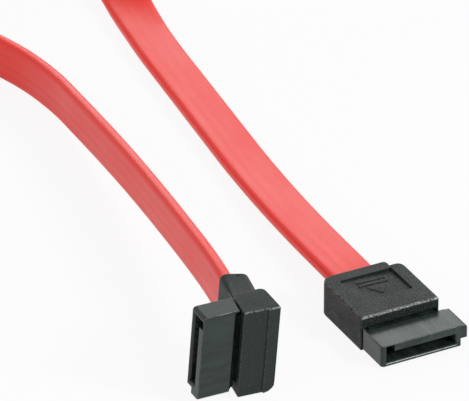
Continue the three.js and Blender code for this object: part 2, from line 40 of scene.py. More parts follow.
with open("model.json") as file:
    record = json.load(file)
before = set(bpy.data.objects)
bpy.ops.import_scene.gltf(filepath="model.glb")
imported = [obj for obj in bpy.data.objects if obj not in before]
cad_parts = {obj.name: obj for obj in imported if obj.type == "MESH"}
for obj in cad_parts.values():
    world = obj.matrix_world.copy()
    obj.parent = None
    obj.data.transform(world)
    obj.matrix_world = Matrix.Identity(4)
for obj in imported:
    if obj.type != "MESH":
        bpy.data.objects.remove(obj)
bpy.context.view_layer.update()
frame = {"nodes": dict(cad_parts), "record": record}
BODY = "root"
MM = 0.001
PLUGS = ("straight", "angled")
# Edges sharper than this stay sharp on the drawn pieces
SHARP_ANGLE = radians(50)

# Where the plugs are. In a plug's own frame u runs across it towards the key rib, v from
# the mouth to the back, and w towards the thick wall of the housing.
STRAIGHT_ZERO = Vector((14.6, -3.6, 2.3)) * MM
ANGLED_ZERO = Vector((-15.8968, -4.7618, 9.0146)) * MM
ANGLED_LEAN = Euler((radians(4.0), radians(2.5), radians(1.2)))
STANDING = Matrix(((0, 1, 0), (0, 0, -1), (-1, 0, 0)))

# Ribbon's middle line from the straight plug to the angled plug, in millimetres: x, y, z
# and the roll in degrees, where 0 lies flat and 90 stands on edge
ROUTE = (
    (14.6, 5.6, 2.95, 0),
    (14.6, 10.2, 2.95, 0),
    (14.7, 16.4, 2.9, 0),
    (15.1, 26.4, 2.55, 0),
    (15.8, 36.4, 2.05, 0),
    (16.7, 46.4, 1.6, 0),
    (17.7, 56.4, 1.35, 0),
    (18.8, 66.4, 1.3, 0),
    (19.9, 76.4, 1.3, 0),
    (21, 86.4, 1.3, 0),
    (22.1, 96.4, 1.3, 0),
    (23.2, 104.4, 1.35, 0),
    (24.2, 111.5, 1.8, 8),
    (24.95, 118, 2.95, 28),
    (25.15, 124.4, 3.95, 55),
    (23.49, 131.88, 4.2, 78),
    (18.83, 137.96, 4.1, 90),
    (12.03, 141.5, 4.1, 90),
    (4.38, 141.83, 4.1, 90),
    (-2.7, 138.9, 4.1, 90),
    (-7.88, 133.25, 4.1, 90),
    (-10.18, 125.94, 4.1, 90),
    (-9.75, 118.3, 4.1, 90),
    (-7.6, 110.9, 4.1, 90),
    (-5.1, 103.6, 4.1, 90),
    (-3.3, 96, 4.2, 90),
    (-2.6, 86.4, 4.6, 90),
    (-3, 76.4, 5.1, 90),
    (-3.7, 66.4, 5.75, 90),
    (-4.55, 56.4, 6.45, 90),
    (-5.55, 46.4, 7.1, 90),
    (-6.7, 36.4, 7.75, 90),
    (-8, 26.4, 8.45, 90),
    (-9.4, 16.6, 9.1, 91),
    (-10.5, 10.2, 9.4, 92),
    (-11.727, 3.807, 9.418, 93.3),
    (-12.32, 0.751, 9.234, 93.3),
    (-12.758, -1.503, 9.098, 93.3),
)


class RibbonSizes(bpy.types.PropertyGroup):
    """The ribbon's section and how finely it is drawn"""

    width: FloatProperty(
        name="Width", description="Across the broad side", default=7.8 * MM, unit="LENGTH"
    )
    thickness: FloatProperty(
        name="Thickness", description="Between the broad sides", default=2.2 * MM, unit="LENGTH"
    )
    edge_radius: FloatProperty(
        name="Edge radius", description="Of the long edges", default=0.95 * MM, unit="LENGTH"
    )
    hollow: FloatProperty(
        name="Hollow", description="Depth of the shallow flutes", default=0.05 * MM, unit="LENGTH"
    )
    spacing: FloatProperty(
        name="Ring spacing", description="Between rings along it", default=0.9 * MM, unit="LENGTH"
    )


class PlugSizes(bpy.types.PropertyGroup):
    """Sizes of the plugs' fine shape"""

    soft_edge: FloatProperty(
        name="Soft edge", description="Widest rounding", default=0.42 * MM, unit="LENGTH"
    )
    rounding_steps: IntProperty(
        name="Rounding steps", description="Faces round an edge", default=3, min=1, max=6
    )
    contact_count: IntProperty(
        name="Contacts", description="In one plug", default=7, min=1, max=15
    )
    contact_pitch: FloatProperty(
        name="Contact pitch", description="Between contacts", default=1.27 * MM, unit="LENGTH"
    )
    contact_width: FloatProperty(
        name="Contact width", description="Across one strip", default=0.6 * MM, unit="LENGTH"
    )
    contact_thickness: FloatProperty(
        name="Contact thickness", description="Of the sheet", default=0.2 * MM, unit="LENGTH"
    )


def colour_property(name, description, default):
    """A colour that a user would change"""
    return FloatVectorProperty(
        name=name, description=description, default=default, subtype="COLOR", min=0, max=1, size=3
    )


class CableColours(bpy.types.PropertyGroup):
    """Colours of the cable's materials"""

    vinyl: colour_property("Vinyl", "Ribbon jacket", (0.9, 0.042, 0.03))
    overmold: colour_property("Overmold", "Textured outer mould", (0.018, 0.0245, 0.0215))
    housing: colour_property("Housing", "Smooth front shell", (0.0122, 0.0184, 0.0162))
    gold: colour_property("Gold", "Contact plating", (0.83, 0.58, 0.22))
    tin: colour_property("Tin", "Bare earth wires", (0.72, 0.71, 0.68))
    core: colour_property("Core", "Wire insulation", (0.5, 0.53, 0.58))
    cap: colour_property("Cap", "Inner moulding", (0.6, 0.58, 0.52))


class StageSettings(bpy.types.PropertyGroup):
    """Camera, floor and lights"""

    azimuth: FloatProperty(
        name="Azimuth", description="Camera's turn", default=radians(-28.81), subtype="ANGLE"
    )
    elevation: FloatProperty(
        name="Elevation", description="Camera's height", default=radians(31.92), subtype="ANGLE"
    )
    roll: FloatProperty(
        name="Roll", description="Camera's tilt", default=radians(0.646), subtype="ANGLE"
    )
    distance: FloatProperty(
        name="Distance", description="Camera to the near corner", default=0.8, unit="LENGTH"
    )
    lens: FloatProperty(name="Lens", description="Focal length in mm", default=390.44)
    floor_size: FloatProperty(
        name="Floor", description="Side of the floor", default=6.0, unit="LENGTH"
    )
    sky: FloatProperty(name="Sky", description="Level of the plain light all round", default=0.46)
    key: FloatProperty(name="Key", description="Watts of the lamp at the front right", default=4.4)
    fill: FloatProperty(name="Fill", description="Watts of the broad lamp at the left", default=1.2)
    back: FloatProperty(name="Back", description="Watts of the low lamp behind", default=2.1)
    glow: FloatProperty(
        name="Glow", description="Share of plain white in the floor that the camera sees", default=0.9
    )


def plug_placing(plug):
    """The matrix from a plug's own frame to the shared one"""
    if plug == "straight":
        return Matrix.Translation(STRAIGHT_ZERO)
    turned = ANGLED_LEAN.to_matrix() @ STANDING
    return Matrix.Translation(ANGLED_ZERO) @ turned.to_4x4()


def add_piece(name, mesh, slot, material, *stands_for):
    """Puts a finished mesh in the scene, riding on the body"""
    piece = bpy.data.objects.new(name, mesh)
    bpy.context.scene.collection.objects.link(piece)
    mesh.materials.clear()
    mesh.materials.append(material)
    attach(piece, BODY)
    if stands_for:
        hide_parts(*stands_for)
    return piece


def built_once(name):
    """For a function that fills a node group, so that the group is made only once"""

    def keep(fill):
        def find():
            if name not in bpy.data.node_groups:
                fill(name)
            return bpy.data.node_groups[name]

        return find

    return keep


def baked(name, mesh, prepare):
    """A plain mesh from a mesh and the modifiers that prepare adds to it"""
    draft = bpy.data.objects.new(name + "_draft", mesh)
    bpy.context.scene.collection.objects.link(draft)
    prepare(draft)
    evaluated = draft.evaluated_get(bpy.context.evaluated_depsgraph_get())
    result = bpy.data.meshes.new_from_object(evaluated)
    bpy.data.objects.remove(draft)
    result.name = name
    return result


def skinned(mesh, rings):
    """The smooth faces between rings of corners, row by row, once both ends are closed"""
    sides = []
    for ring, following in zip(rings, rings[1:]):
        for side in range(len(ring)):
            beside = (side + 1) % len(ring)
            face = mesh.faces.new((ring[side], ring[beside], following[beside], following[side]))
            face.smooth = True
            sides.append(face)
    mesh.faces.new(rings[0])
    mesh.faces.new(reversed(rings[-1]))
    return sides


def finished_mesh(name, mesh):
    """A plain mesh whose faces point outwards and whose sharp edges are marked"""
    bmesh.ops.recalc_face_normals(mesh, faces=mesh.faces)
    data = bpy.data.meshes.new(name)
    mesh.to_mesh(data)
    mesh.free()
    data.set_sharp_from_angle(angle=SHARP_ANGLE)
    return data


def slopes(line):
    """The direction of a line at each of its points"""
    before = [line[0], *line[:-1]]
    after = [*line[1:], line[-1]]
    return [(there - here).normalized() for here, there in zip(before, after)]


def direction(turn, rise):
    """The unit vector that points out at an azimuth, counted from -Y towards +X, and an elevation"""
    return Vector((sin(turn) * cos(rise), -cos(turn) * cos(rise), sin(rise)))


# Materials

# Span that most values of a noise lie in
NOISE_SPAN = (0.3, 0.7)


def toned(colour, share):
    """A colour times a share, no brighter than 1"""
    return tuple(min(1.0, channel * share) for channel in colour)


def new_material(name, colour, roughness=0.5, metallic=0.0):
    """A material with its Principled shader, and that shader"""
    material = bpy.data.materials.new(name)
    material.use_nodes = True
    shader = material.node_tree.nodes["Principled BSDF"]
    shader.inputs["Base Color"].default_value = (*colour, 1)
    shader.inputs["Roughness"].default_value = roughness
    shader.inputs["Metallic"].default_value = metallic
    return material, shader


def new_group(name, inputs, outputs):
    """A shader group with a Vector input, more inputs by their defaults, and number outputs"""
    tree = bpy.data.node_groups.new(name, "ShaderNodeTree")
    tree.interface.new_socket("Vector", in_out="INPUT", socket_type="NodeSocketVector")
    for label, value in inputs.items():
        kind = "NodeSocketFloat" if isinstance(value, float) else "NodeSocketVector"
        socket = tree.interface.new_socket(label, in_out="INPUT", socket_type=kind)
        socket.default_value = value
    for label in outputs:
        tree.interface.new_socket(label, in_out="OUTPUT", socket_type="NodeSocketFloat")
    return tree, tree.nodes.new("NodeGroupInput"), tree.nodes.new("NodeGroupOutput")


def add_node(tree, kind, **values):
    """A node with its settings and its unlinked inputs set by name"""
    node = tree.nodes.new(kind)
    for key, value in values.items():
        if hasattr(node, key):
            setattr(node, key, value)
        else:
            node.inputs[key].default_value = value
    return node


def set_or_link(tree, socket, value):
    """Links a socket to another one, or gives it a plain value"""
    if isinstance(value, bpy.types.NodeSocket):
        tree.links.new(value, socket)
    else:
        socket.default_value = value


def add_maths(tree, operation, *terms, clamp=False):
    """A Math node's output, from numbers and sockets"""
    node = tree.nodes.new("ShaderNodeMath")
    node.operation = operation
    node.use_clamp = clamp
    for place, term in enumerate(terms):
        set_or_link(tree, node.inputs[place], term)
    return node.outputs[0]


def add_noise(tree, vector, scale, detail=2.0, roughness=0.5):
    """A noise value between 0 and 1"""
    node = add_node(tree, "ShaderNodeTexNoise", Detail=detail, Roughness=roughness)
    tree.links.new(vector, node.inputs["Vector"])
    set_or_link(tree, node.inputs["Scale"], scale)
    return node.outputs[0]


def add_range(tree, value, low, high, to_low=0.0, to_high=1.0):
    """A value mapped from one range to another, clamped"""
    node = tree.nodes.new("ShaderNodeMapRange")
    tree.links.new(value, node.inputs["Value"])
    limits = {"From Min": low, "From Max": high, "To Min": to_low, "To Max": to_high}
    for label, limit in limits.items():
        set_or_link(tree, node.inputs[label], limit)
    return node.outputs["Result"]


def add_mix(tree, factor, first, second):
    """A colour between two, each a socket or a colour"""
    node = tree.nodes.new("ShaderNodeMix")
    node.data_type = "RGBA"
    tree.links.new(factor, node.inputs["Factor"])
    for label, colour in (("A", first), ("B", second)):
        socket = next(s for s in node.inputs if s.name == label and s.type == "RGBA")
        set_or_link(tree, socket, colour if isinstance(colour, bpy.types.NodeSocket) else (*colour, 1))
    return next(s for s in node.outputs if s.type == "RGBA")


# Spark grain: scale of its coarse pits and of its clouds beside the fine pits, depth of the
# coarse pits, and how far above its level a fleck is fully pale
COARSE_SCALE = 0.37
CLOUD_SCALE = 0.06
COARSE_DEPTH = 0.6
FLECK_STEP = 0.16


@built_once("Spark grain")
def spark_grain(name):
    """Group: the fine pitted texture of a spark-eroded mould, with its pale flecks"""
    inputs = {"Scale": 4500.0, "Fleck Level": 0.6}
    tree, start, end = new_group(name, inputs, ("Height", "Fleck", "Cloud"))
    vector, scale, level = (start.outputs[label] for label in ("Vector", "Scale", "Fleck Level"))
    fine = add_noise(tree, vector, scale, detail=3.0, roughness=0.65)
    coarse = add_noise(tree, vector, add_maths(tree, "MULTIPLY", scale, COARSE_SCALE))
    cloud = add_noise(tree, vector, add_maths(tree, "MULTIPLY", scale, CLOUD_SCALE))
    height = add_maths(tree, "ADD", fine, add_maths(tree, "MULTIPLY", coarse, COARSE_DEPTH))
    fleck = add_range(tree, fine, level, add_maths(tree, "ADD", level, FLECK_STEP))
    tree.links.new(height, end.inputs["Height"])
    tree.links.new(fleck, end.inputs["Fleck"])
    tree.links.new(cloud, end.inputs["Cloud"])


# Levels of the noise between which a rubbed edge's polish and painted highlight break up
BREAK_SPAN = (0.35, 0.65)


@built_once("Rubbed edge")
def polished_edge_highlight(name):
    """Group: where the rounded edges of a moulding are polished and painted pale as a highlight"""
    tree, start, end = new_group(name, {"Scale": 1500.0, "Amount": 0.6}, ("Mask",))
    edge = add_node(tree, "ShaderNodeAttribute", attribute_name="edge")
    noise = add_noise(tree, start.outputs["Vector"], start.outputs["Scale"], detail=3.0, roughness=0.6)
    broken = add_range(tree, noise, *BREAK_SPAN)
    mask = add_maths(tree, "MULTIPLY", edge.outputs["Fac"], broken)
    mask = add_maths(tree, "MULTIPLY", mask, start.outputs["Amount"], clamp=True)
    tree.links.new(mask, end.inputs["Mask"])


@built_once("Flow lines")
def flow_lines(name):
    """Group: long faint streaks along Y of the given vector, as left by flowing plastic"""
    tree, start, end = new_group(name, {"Scale": 900.0, "Stretch": 0.08}, ("Value",))
    parts = tree.nodes.new("ShaderNodeSeparateXYZ")
    joined = tree.nodes.new("ShaderNodeCombineXYZ")
    tree.links.new(start.outputs["Vector"], parts.inputs[0])
    tree.links.new(parts.outputs["X"], joined.inputs["X"])
    long_way = add_maths(tree, "MULTIPLY", parts.outputs["Y"], start.outputs["Stretch"])
    tree.links.new(long_way, joined.inputs["Y"])
    tree.links.new(parts.outputs["Z"], joined.inputs["Z"])
    value = add_noise(tree, joined.outputs[0], start.outputs["Scale"], detail=3.0, roughness=0.6)
    tree.links.new(value, end.inputs["Value"])


# Dust: cells and patches per metre, a speck's soft rim as shares of its cell, and the levels
# of the patches between which the specks appear
DUST_CELLS = 900.0
DUST_PATCHES = 260.0
SPECK_RIM = (0.05, 0.11)
PATCH_SPAN = (0.5, 0.6)


@built_once("Dust")
def dust(name):
    """Group: a few specks of pale dust"""
    tree, start, end = new_group(name, {"Amount": 0.2}, ("Mask",))
    cells = add_node(tree, "ShaderNodeTexVoronoi", Scale=DUST_CELLS)
    tree.links.new(start.outputs["Vector"], cells.inputs["Vector"])
    spot = add_range(tree, cells.outputs["Distance"], *SPECK_RIM, 1.0, 0.0)
    patch = add_range(tree, add_noise(tree, start.outputs["Vector"], DUST_PATCHES), *PATCH_SPAN)
    mask = add_maths(tree, "MULTIPLY", spot, patch)
    mask = add_maths(tree, "MULTIPLY", mask, start.outputs["Amount"], clamp=True)
    tree.links.new(mask, end.inputs["Mask"])


# Share of a pressed mark's reach at which its floor ends and its side starts
MARK_FLOOR = 0.6


@built_once("Pressed mark")
def pressed_mark(name):
    """Group: a small dent or groove, 1 inside an oval of the given place and half sizes"""
    inputs = {"Place": (0.0, 0.0, 0.0), "Half Size": (1.0, 1.0, 1.0)}
    tree, start, end = new_group(name, inputs, ("Mask",))
    away = add_node(tree, "ShaderNodeVectorMath", operation="SUBTRACT")
    share = add_node(tree, "ShaderNodeVectorMath", operation="DIVIDE")
    length = add_node(tree, "ShaderNodeVectorMath", operation="LENGTH")
    tree.links.new(start.outputs["Vector"], away.inputs[0])
    tree.links.new(start.outputs["Place"], away.inputs[1])
    tree.links.new(away.outputs[0], share.inputs[0])
    tree.links.new(start.outputs["Half Size"], share.inputs[1])
    tree.links.new(share.outputs[0], length.inputs[0])
    mask = add_range(tree, length.outputs["Value"], MARK_FLOOR, 1.0, 1.0, 0.0)
    tree.links.new(mask, end.inputs["Mask"])


def add_group(tree, group, vector, **values):
    """A group node with its vector linked and its other inputs set"""
    node = tree.nodes.new("ShaderNodeGroup")
    node.node_tree = group
    tree.links.new(vector, node.inputs["Vector"])
    for label, value in values.items():
        node.inputs[label.replace("_", " ")].default_value = value
    return node


def add_bump(tree, shader, height, depth):
    """A bump of the given depth in metres on the shader's normal"""
    bump = add_node(tree, "ShaderNodeBump", Distance=depth, Strength=1.0)
    tree.links.new(height, bump.inputs["Height"])
    tree.links.new(bump.outputs["Normal"], shader.inputs["Normal"])


def plug_vector(tree, plug):
    """Object coordinates turned into a plug's own frame"""
    place, turn, _ = plug_placing(plug).decompose()
    coordinates = tree.nodes.new("ShaderNodeTexCoord")
    mapping = tree.nodes.new("ShaderNodeMapping")
    mapping.vector_type = "TEXTURE"
    mapping.inputs["Location"].default_value = place
    mapping.inputs["Rotation"].default_value = turn.to_euler()
    tree.links.new(coordinates.outputs["Object"], mapping.inputs["Vector"])
    return mapping.outputs["Vector"]


# Level of the grain above which it shows as a pale fleck, so a higher one leaves fewer flecks. It is lower
# on the straight plug, as painted sparkle on its lit top.
FLECK_LEVELS = {"straight": 0.47, "angled": 0.57}
# Brightness of the overmolds' pits and flecks beside their plain colour. The straight plug's is lower, as
# painted shade against its lit top, though both are one plastic.
PIT_TONES = {"straight": 0.5, "angled": 1.25}
FLECK_TONE = 2.8
# Brightness of the housings' flow streaks beside their plain colour, paler on the straight plug than on
# the angled one as painted light, though both are one plastic
STREAK_TONES = {"straight": 2.6, "angled": 2.0}
# Levels of the flow lines between which a streak turns pale
STREAK_SPAN = (0.42, 0.68)
# Colours of dust on dark plastic and on the ribbon, of rubbed edges, pale there as a painted highlight,
# and of the painted shade inside a pressed mark
DUST_ON_PLASTIC = (0.35, 0.34, 0.31)
DUST_ON_RIBBON = (0.7, 0.55, 0.5)
OVERMOLD_PAINTED_HIGHLIGHT = (0.3, 0.31, 0.3)
HOUSING_PAINTED_HIGHLIGHT = (0.19, 0.2, 0.195)
PAINTED_MARK_SHADE = (0.004, 0.004, 0.004)
# Roughness at the low and the high end of the pattern that varies it
OVERMOLD_ROUGHNESS = (0.42, 0.54)
HOUSING_ROUGHNESS = (0.27, 0.2)
RIBBON_ROUGHNESS = (0.32, 0.42)
# How much smoother the rubbed edges are
OVERMOLD_RUB = 0.3
HOUSING_RUB = 0.04
# Depths of the textures' relief
OVERMOLD_RELIEF = 0.08 * MM
HOUSING_RELIEF = 0.006 * MM
RIBBON_RELIEF = 0.0025 * MM
INNER_RELIEF = 0.01 * MM
# Depth of a pressed mark beside the grain's relief
MARK_DEPTH = 2.5
# Place and half sizes, in millimetres in the plug's frame, of the groove in the straight
# overmold's side and of the dent in the top of the angled one's boot
MARKS = {
    "straight": ((-7.3, 7.5, 0.5), (1.0, 2.4, 0.13)),
    "angled": ((-6.9, 4.1, -6.9), (1.0, 0.35, 0.45)),
}


def overmold_material(plug, colour):
    """Charcoal plastic with spark grain toned per plug as painted light, rubbed edges that are smoother,
    coated and painted pale as a highlight, and painted shade in a pressed mark
    """
    material, shader = new_material(f"Overmold plastic, {plug}", colour)
    tree = material.node_tree
    vector = plug_vector(tree, plug)
    shader.inputs["IOR"].default_value = 1.3
    shader.inputs["Specular IOR Level"].default_value = 0.33
    grain = add_group(tree, spark_grain(), vector, Scale=4000.0, Fleck_Level=FLECK_LEVELS[plug])
    edge_polish_and_highlight = add_group(tree, polished_edge_highlight(), vector, Scale=1900.0, Amount=0.95)
    specks = add_group(tree, dust(), vector, Amount=0.25)
    place, half = (tuple(value * MM for value in part) for part in MARKS[plug])
    mark = add_group(tree, pressed_mark(), vector, Place=place, Half_Size=half)
    # Painted light: one plastic, toned darker and with more contrast on the straight plug for its lit top
    pits, pale = toned(colour, PIT_TONES[plug]), toned(colour, FLECK_TONE)
    flecked = add_mix(tree, grain.outputs["Fleck"], pits, pale)
    # Painted highlight: the rubbed edges are painted pale, beside their real coat and lower roughness
    edge_highlighted = add_mix(tree, edge_polish_and_highlight.outputs["Mask"], flecked, OVERMOLD_PAINTED_HIGHLIGHT)
    dusty = add_mix(tree, specks.outputs["Mask"], edge_highlighted, DUST_ON_PLASTIC)
    # Painted shade: the inside of the dent and the groove is painted near black
    mark_painted_dark = add_mix(tree, mark.outputs["Mask"], dusty, PAINTED_MARK_SHADE)
    tree.links.new(mark_painted_dark, shader.inputs["Base Color"])
    rough = add_range(tree, grain.outputs["Cloud"], *NOISE_SPAN, *OVERMOLD_ROUGHNESS)
    smooth = add_maths(tree, "MULTIPLY", edge_polish_and_highlight.outputs["Mask"], OVERMOLD_RUB)
    tree.links.new(add_maths(tree, "SUBTRACT", rough, smooth), shader.inputs["Roughness"])
    tree.links.new(edge_polish_and_highlight.outputs["Mask"], shader.inputs["Coat Weight"])
    shader.inputs["Coat Roughness"].default_value = 0.12
    sunk = add_maths(tree, "MULTIPLY", mark.outputs["Mask"], MARK_DEPTH)
    height = add_maths(tree, "SUBTRACT", grain.outputs["Height"], sunk)
    add_bump(tree, shader, height, OVERMOLD_RELIEF)
    return material


def housing_material(plug, colour):
    """Smooth dark plastic with flow streaks from the moulding, toned per plug as painted light, and rubbed
    edges painted pale as a highlight
    """
    material, shader = new_material(f"Housing plastic, {plug}", colour)
    tree = material.node_tree
    vector = plug_vector(tree, plug)
    shader.inputs["Specular Tint"].default_value = (0.88, 1, 0.97, 1)
    shader.inputs["Specular IOR Level"].default_value = 0.38
    streaks = add_group(tree, flow_lines(), vector, Scale=480.0, Stretch=0.16)
    edge_polish_and_highlight = add_group(tree, polished_edge_highlight(), vector, Scale=900.0, Amount=0.8)
    specks = add_group(tree, dust(), vector, Amount=0.2)
    grain = add_group(tree, spark_grain(), vector, Scale=2600.0, Fleck_Level=0.7)
    band = add_range(tree, streaks.outputs["Value"], *STREAK_SPAN)
    # Painted light: the streaks are paler on the straight plug than on the angled one
    streaked = add_mix(tree, band, colour, toned(colour, STREAK_TONES[plug]))
    # Painted highlight: the rubbed edges are painted pale, beside their slightly lower roughness
    edge_highlighted = add_mix(tree, edge_polish_and_highlight.outputs["Mask"], streaked, HOUSING_PAINTED_HIGHLIGHT)
    dusty = add_mix(tree, specks.outputs["Mask"], edge_highlighted, DUST_ON_PLASTIC)
    tree.links.new(dusty, shader.inputs["Base Color"])
    rough = add_range(tree, streaks.outputs["Value"], *NOISE_SPAN, *HOUSING_ROUGHNESS)
    smooth = add_maths(tree, "MULTIPLY", edge_polish_and_highlight.outputs["Mask"], HOUSING_RUB)
    tree.links.new(add_maths(tree, "SUBTRACT", rough, smooth), shader.inputs["Roughness"])
    add_bump(tree, shader, grain.outputs["Height"], HOUSING_RELIEF)
    return material


# The vinyl's channels in an extrusion line, as shares of its colour, and how it is whiter between
# the lines: red by a share, green and blue by what is added
LINE_SHARES = (0.97, 0.9, 0.92)
MILKY_RED = 1.06
MILKY_GREEN = 0.014
MILKY_BLUE = 0.012
# Levels of the clouds between which haze sets in, and the most of it
HAZE_SPAN = (0.2, 0.8)
HAZE_MOST = 0.5
# Height of the ribbon's grain beside that of its lines
RIBBON_GRAIN = 0.3


def vinyl_material(colour):
    """Red jacket with lengthwise extrusion lines"""
    material, shader = new_material("Ribbon vinyl", colour)
    tree = material.node_tree
    uv = tree.nodes.new("ShaderNodeUVMap")
    uv.uv_map = "Ribbon"
    vector = uv.outputs["UV"]
    lines = add_group(tree, flow_lines(), vector, Scale=1500.0, Stretch=0.01)
    clouds = add_group(tree, flow_lines(), vector, Scale=160.0, Stretch=0.35)
    specks = add_group(tree, dust(), vector, Amount=0.3)
    grain = add_group(tree, spark_grain(), vector, Scale=3200.0, Fleck_Level=0.75)
    red, green, blue = colour
    deep = tuple(channel * share for channel, share in zip(colour, LINE_SHARES))
    milky = (min(1.0, red * MILKY_RED), green + MILKY_GREEN, blue + MILKY_BLUE)
    lined = add_mix(tree, add_range(tree, lines.outputs["Value"], *NOISE_SPAN), deep, milky)
    haze = add_range(tree, clouds.outputs["Value"], *HAZE_SPAN, to_high=HAZE_MOST)
    clouded = add_mix(tree, haze, lined, milky)
    dusty = add_mix(tree, specks.outputs["Mask"], clouded, DUST_ON_RIBBON)
    tree.links.new(dusty, shader.inputs["Base Color"])
    rough = add_range(tree, clouds.outputs["Value"], *NOISE_SPAN, *RIBBON_ROUGHNESS)
    tree.links.new(rough, shader.inputs["Roughness"])
    shader.inputs["IOR"].default_value = 1.4
    shader.inputs["Specular IOR Level"].default_value = 0.4
    shader.inputs["Subsurface Weight"].default_value = 0.08
    shader.inputs["Subsurface Radius"].default_value = (1.2 * MM, 0.4 * MM, 0.3 * MM)
    shader.inputs["Subsurface Scale"].default_value = 1.0
    fine = add_maths(tree, "MULTIPLY", grain.outputs["Height"], RIBBON_GRAIN)
    height = add_maths(tree, "ADD", lines.outputs["Value"], fine)
    add_bump(tree, shader, height, RIBBON_RELIEF)
    return material


# Brightness of a metal's dull lines, and the span of its roughness, beside its plain values
DULL_METAL = 0.72
METAL_ROUGHNESS = (0.8, 1.3)
# Levels of the rolling lines between which the metal turns bright
METAL_LINES = (0.35, 0.7)
# Brightness of an inner plastic's clouds beside its plain colour
INNER_CLOUD = 1.15


def metal_material(name, colour, roughness):
    """Drawn or plated metal with fine rolling lines"""
    material, shader = new_material(name, colour, roughness, 1.0)
    tree = material.node_tree
    coordinates = tree.nodes.new("ShaderNodeTexCoord")
    lines = add_group(tree, flow_lines(), coordinates.outputs["Object"], Scale=5200.0, Stretch=0.1)
    bright = add_range(tree, lines.outputs["Value"], *METAL_LINES)
    shade = add_mix(tree, bright, toned(colour, DULL_METAL), colour)
    tree.links.new(shade, shader.inputs["Base Color"])
    low, high = (roughness * share for share in METAL_ROUGHNESS)
    rough = add_range(tree, lines.outputs["Value"], *NOISE_SPAN, low, high)
    tree.links.new(rough, shader.inputs["Roughness"])
    return material


def plain_plastic(name, colour, roughness):
    """Plastic of an inner piece, faintly grained"""
    material, shader = new_material(name, colour, roughness)
    tree = material.node_tree
    coordinates = tree.nodes.new("ShaderNodeTexCoord")
    grain = add_group(tree, spark_grain(), coordinates.outputs["Object"], Scale=3000.0, Fleck_Level=0.7)
    clouded = add_mix(tree, grain.outputs["Cloud"], colour, toned(colour, INNER_CLOUD))
    tree.links.new(clouded, shader.inputs["Base Color"])
    add_bump(tree, shader, grain.outputs["Height"], INNER_RELIEF)
    return material


# Ribbon


def curve_through(points, steps=16):
    """Points close together on a centripetal curve through the given ones, with their places"""
    first = points[0] * 2 - points[1]
    last = points[-1] * 2 - points[-2]
    posts = [first, *points, last]
    line = []
    for index in range(len(points) - 1):
        a, b, c, d = posts[index : index + 4]
        before, between, after = (sqrt((q - p).length) for p, q in ((a, b), (b, c), (c, d)))
        leave = ((b - a) / before - (c - a) / (before + between) + (c - b) / between) * between
        enter = ((c - b) / between - (d - b) / (between + after) + (d - c) / after) * between
        for step in range(steps):
            t = step / steps
            cubic = b * 2 - c * 2 + leave + enter
            square = c * 3 - b * 3 - leave * 2 - enter
            line.append((index + t, b + leave * t + square * t**2 + cubic * t**3))
    line.append((len(points) - 1.0, points[-1].copy()))
    return line


def evenly(line, spacing):
    """The same line at even spacing, as (place, point) pairs, and its length"""
    lengths = [0.0]
    for (_, here), (_, there) in zip(line, line[1:]):
        lengths.append(lengths[-1] + (there - here).length)
    count = ceil(lengths[-1] / spacing)
    even = []
    at = 0
    for step in range(count + 1):
        wanted = lengths[-1] * step / count
        while at < len(line) - 2 and lengths[at + 1] < wanted:
            at += 1
        share = (wanted - lengths[at]) / (lengths[at + 1] - lengths[at])
        place = line[at][0] + (line[at + 1][0] - line[at][0]) * share
        even.append((place, line[at][1].lerp(line[at + 1][1], share)))
    return even, lengths[-1]


def ribbon_section(sizes, arc_steps=6, face_steps=10, flutes=3):
    """The ribbon's outline as (across, through) points, with shallow flutes in both broad sides"""
    half_width = sizes.width / 2
    half = sizes.thickness / 2
    radius = sizes.edge_radius
    flat = half_width - radius
    outline = []
    for side in (1, -1):
        for step in range(1, face_steps):
            share = step / face_steps
            dip = sizes.hollow * sin(pi * flutes * share) ** 2
            outline.append((side * flat * (2 * share - 1), -side * (half - dip)))
        for corner in (-side, side):
            centre = (side * flat, corner * (half - radius))
            start = 1.5 * pi if corner == -side else 0.0
            start = start if side == 1 else start + pi
            for step in range(arc_steps + 1):
                turn = start + 0.5 * pi * step / arc_steps
                outline.append((centre[0] + radius * cos(turn), centre[1] + radius * sin(turn)))
    return outline


def ribbon_mesh(name, sizes):
    """The ribbon's mesh, its middle line and its length"""
    points = [Vector(stop[:3]) * MM for stop in ROUTE]
    rolls = [radians(stop[3]) for stop in ROUTE]
    line, length = evenly(curve_through(points), sizes.spacing)
    middle = [point for _, point in line]
    section = ribbon_section(sizes)
    around = [0.0]
    for here, there in zip(section, section[1:] + section[:1]):
        around.append(around[-1] + (Vector(there) - Vector(here)).length)
    mesh = bmesh.new()
    layer = mesh.loops.layers.uv.new("Ribbon")
    rings = []
    for (place, point), tangent in zip(line, slopes(middle)):
        level = tangent.cross(Vector((0, 0, 1))).normalized()
        raised = level.cross(tangent)
        post = min(int(place), len(rolls) - 2)
        roll = rolls[post] + (rolls[post + 1] - rolls[post]) * (place - post)
        across = level * cos(roll) + raised * sin(roll)
        through = across.cross(tangent)
        rings.append([mesh.verts.new(point + across * a + through * b) for a, b in section])
    step_length = length / (len(line) - 1)
    for index, face in enumerate(skinned(mesh, rings)):
        row, side = divmod(index, len(section))
        places = ((side, row), (side + 1, row), (side + 1, row + 1), (side, row + 1))
        for loop, (turn, along) in zip(face.loops, places):
            loop[layer].uv = (around[turn], along * step_length)
    return finished_mesh(name, mesh), middle, length


class CABLE_OT_ribbon(bpy.types.Operator):
    """Make the red ribbon between the plugs"""

    bl_idname = "cable.ribbon"
    bl_label = "Ribbon"

    def execute(self, context):
        sizes = context.scene.cable_ribbon
        mesh, middle, length = ribbon_mesh("ribbon", sizes)
        material = vinyl_material(context.scene.cable_colours.vinyl)
        piece = add_piece("ribbon", mesh, "ribbon", material, "cable_jacket")
        return {"FINISHED"}


# Mouldings

# Corners nearer than this are one, and faces that turn less than this are one flat face
MERGE_REACH = 0.002 * MM
FLAT_ANGLE = radians(0.5)
